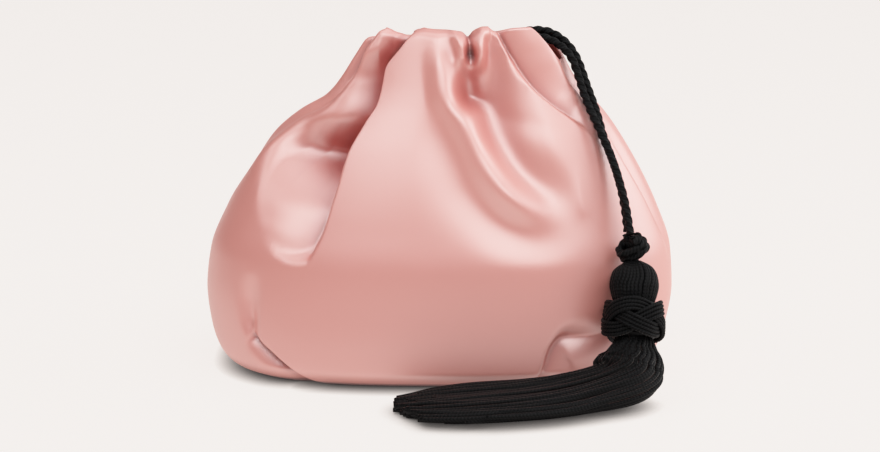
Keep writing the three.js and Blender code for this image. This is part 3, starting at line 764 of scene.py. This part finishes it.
def satin_colour(tree, place):
    """Slow colour change, plus painted shade: redder and darker in hollows, for light going from cloth to
    cloth and for shade, and painted dark shade in creases.
    """
    drift = tree.nodes.new("ShaderNodeTexNoise")
    drift.inputs["Scale"].default_value = 14
    drift.inputs["Detail"].default_value = 3
    link(tree, place, drift.inputs["Vector"])
    colour = colour_mix(tree, drift.outputs["Fac"], SATIN_BRIGHT, SATIN_DEEP)
    # Painted shade in hollows, then painted dark shade in creases
    colour = colour_mix(tree, painted_shade_openness(tree, PAINTED_HOLLOW_SHADE_REACH, True), SATIN_PAINTED_HOLLOW_SHADE, colour)
    return colour_mix(tree, painted_shade_openness(tree, PAINTED_CREASE_SHADE_REACH, False), SATIN_PAINTED_CREASE_SHADE, colour)


def satin():
    """Pink satin: a fine weave and a broad soft gloss."""
    material, tree, shader = make_nodes("pink_satin")
    place = tree.nodes.new("ShaderNodeTexCoord").outputs["Object"]
    link(tree, satin_colour(tree, place), shader.inputs["Base Color"])
    shader.inputs["Roughness"].default_value = 0.42
    shader.inputs["IOR"].default_value = 3.0
    shader.inputs["Specular IOR Level"].default_value = 0.5
    shader.inputs["Sheen Weight"].default_value = 0.15
    shader.inputs["Sheen Roughness"].default_value = 0.4
    shader.inputs["Sheen Tint"].default_value = (1, 0.85, 0.82, 1)
    weave = tree.nodes.new("ShaderNodeTexWave")
    weave.wave_type = "BANDS"
    weave.bands_direction = "DIAGONAL"
    weave.inputs["Scale"].default_value = 900
    weave.inputs["Distortion"].default_value = 0.6
    link(tree, place, weave.inputs["Vector"])
    add_bump(tree, shader, weave.outputs["Fac"], strength=0.05, distance=0.0001)
    return material


BASE_ROWS = 4


def smooth_round(rows, amount):
    """Move each point above the base towards its neighbours in the same row."""
    side = (np.roll(rows, 1, 1) + np.roll(rows, -1, 1)) / 2
    rows[BASE_ROWS:-1] += amount * (side - rows)[BASE_ROWS:-1]


def smooth_upright(rows, amount):
    """Move each point above the base towards its neighbours in the same column."""
    upright = (rows[BASE_ROWS - 1:-2] + rows[BASE_ROWS + 1:]) / 2
    rows[BASE_ROWS:-1] += amount * (upright - rows[BASE_ROWS:-1])


def soft_weight(angle, z):
    """1 over the front's round folds, fading to 0 towards the creases round them."""
    middle, half, fade, level, half_z, fade_z = SOFT_ZONE
    across = np.clip((half + fade - np.abs(angle - middle)) / fade, 0, 1)
    return across * np.clip((half_z + fade_z - np.abs(z - level)) / fade_z, 0, 1)


BASE_RINGS = np.array([0.5, 1.0, 1.5])


def outside_of_pouch(angles, rings):
    """The smoothed outside, as rows of points from the base to the rim."""
    outside = cloth_point(angles, rings)
    for _ in range(SMOOTHING_STEPS):
        smooth_round(outside, SMOOTHING)
        smooth_upright(outside, SMOOTHING)
    soft = SOFTENING * soft_weight(angles, outside[..., 2])[BASE_ROWS:-1, :, None]
    for _ in range(SOFT_ROUND_STEPS):
        smooth_round(outside, soft)
    for _ in range(SOFT_UPRIGHT_STEPS):
        smooth_upright(outside, soft)
    return outside


def inside_of_pouch(outside, angles, rings):
    """The inside, a wall's thickness in, as fewer rows from the rim to the base."""
    normal = plain_normal(angles, cut_ring(angles, rings)[0])
    base = len(BASE_RINGS)
    pick = np.unique(np.round(np.linspace(base, len(outside) - 1, INNER_ROWS)).astype(int))
    pick = np.concatenate([np.arange(base), pick])
    return (outside - WALL * normal)[pick][::-1]


def make_pouch():
    angles = np.concatenate([np.linspace(a, b, n, endpoint=False) for a, b, n in COLUMNS])
    levels = [np.linspace(a, b, n, endpoint=False) for a, b, n in ROWS]
    rings = np.concatenate([BASE_RINGS, *levels, [len(PROFILE) - 1]])
    columns = len(angles)
    angles, rings = np.meshgrid(angles, rings)
    outside = outside_of_pouch(angles, rings)
    inside = inside_of_pouch(outside, angles, rings)
    lip = (outside[-1] + inside[0]) / 2 + np.array([0, 0, WALL / 2])
    rows = np.concatenate([outside, lip[None], inside])
    points = np.vstack([rows.reshape(-1, 3), [[0, 0, 0], [0, 0, WALL]]])
    faces = grid_faces(len(rows), columns)
    bottom, floor_ = len(points) - 2, len(points) - 1
    last = (len(rows) - 1) * columns
    for c in range(columns):
        n = (c + 1) % columns
        faces.append([bottom, n, c])
        faces.append([floor_, last + c, last + n])
    pouch = new_piece("pouch_satin", points, faces, satin())
    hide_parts("pouch_shell")
    return pouch


make_pouch()

FLOOR_COLOUR = (0.98, 0.90, 0.855, 1)
FLOOR_GLOW = 1.04


def make_floor():
    """A plain pale floor that glows a little, as a lit white studio table does, with a painted contact shadow
    that dims its glow close to the pouch and tassel.
    """
    bpy.ops.mesh.primitive_plane_add(size=12)
    floor_ = bpy.context.object
    floor_.name = "studio_floor"
    material, tree, shader = make_nodes("studio_floor")
    shader.inputs["Base Color"].default_value = (0.10, 0.097, 0.095, 1)
    shader.inputs["Roughness"].default_value = 1.0
    shader.inputs["Specular IOR Level"].default_value = 0.0
    # Painted contact shadow: the glow's colour darkens within 8 mm of the pouch and tassel
    near = tree.nodes.new("ShaderNodeAmbientOcclusion")
    near.inputs["Distance"].default_value = 0.008
    near.inputs["Color"].default_value = FLOOR_COLOUR
    link(tree, near.outputs["Color"], shader.inputs["Emission Color"])
    shader.inputs["Emission Strength"].default_value = FLOOR_GLOW
    floor_.data.materials.append(material)


make_floor()


POUCH_AIM = (0, 0, 0.06)

# Lights in metres and watts: name, place, aim, size, power
LIGHTS = [
    ("top", (0.1, -0.78, 0.98), POUCH_AIM, (1.6, 0.62), 9.9),
    ("overhead", (0.0, 0.15, 1.25), POUCH_AIM, (1.2, 0.8), 4.2),
    ("right", (1.1, 0.1, 0.58), POUCH_AIM, (0.9, 0.8), 4.8),
    ("left_top", (-0.85, -0.15, 1.0), POUCH_AIM, (0.6, 0.6), 2.4),
    ("low", (-0.03, -0.16, 0.004), (-0.03, -0.159, 0.5), (0.4, 0.06), 0.025),
]


def area_light(name, place, aim, size, power):
    """A soft rectangular studio light."""
    data = bpy.data.lights.new(name, "AREA")
    data.shape = "RECTANGLE"
    data.size, data.size_y = size
    data.energy = power
    lamp = bpy.data.objects.new(name, data)
    scene.collection.objects.link(lamp)
    lamp.visible_camera = False
    lamp.location = place
    way = np.asarray(aim, float) - np.asarray(place, float)
    flat = math.hypot(way[0], way[1])
    lamp.rotation_euler = (math.atan2(flat, -way[2]), 0, math.atan2(way[1], way[0]) - math.pi / 2)


for light in LIGHTS:
    area_light(*light)


def make_world():
    """Dim studio air, lighter to the right and behind."""
    world = bpy.data.worlds.new("studio")
    scene.world = world
    world.use_nodes = True
    tree = world.node_tree
    way = tree.nodes.new("ShaderNodeTexCoord")
    side = tree.nodes.new("ShaderNodeVectorMath")
    side.operation = "DOT_PRODUCT"
    side.inputs[1].default_value = (0.85, 0.45, 0.27)
    link(tree, way.outputs["Generated"], side.inputs[0])
    ramp = tree.nodes.new("ShaderNodeMapRange")
    ramp.interpolation_type = "SMOOTHSTEP"
    ramp.inputs["From Min"].default_value = -0.1
    ramp.inputs["From Max"].default_value = 1.0
    ramp.inputs["To Min"].default_value = 0.10
    ramp.inputs["To Max"].default_value = 0.9
    link(tree, side.outputs["Value"], ramp.inputs["Value"])
    background = tree.nodes["Background"]
    background.inputs["Color"].default_value = (0.96, 0.95, 0.96, 1)
    link(tree, ramp.outputs["Result"], background.inputs["Strength"])


make_world()
scene.view_settings.view_transform = "Standard"

# Film response: bright values are held back softly, as in the photo
FILM_WHITE = 1.5
FILM = [(0.45, 0.45), (0.6, 0.585), (0.75, 0.705), (0.9, 0.8), (1.0, 0.85), (1.1, 0.89), (1.25, 0.935)]


def set_film():
    scene.view_settings.use_curve_mapping = True
    mapping = scene.view_settings.curve_mapping
    mapping.white_level = (FILM_WHITE, FILM_WHITE, FILM_WHITE)
    curve = mapping.curves[3]
    for bright, shown in FILM:
        curve.points.new(bright / FILM_WHITE, shown)
    mapping.update()


set_film()
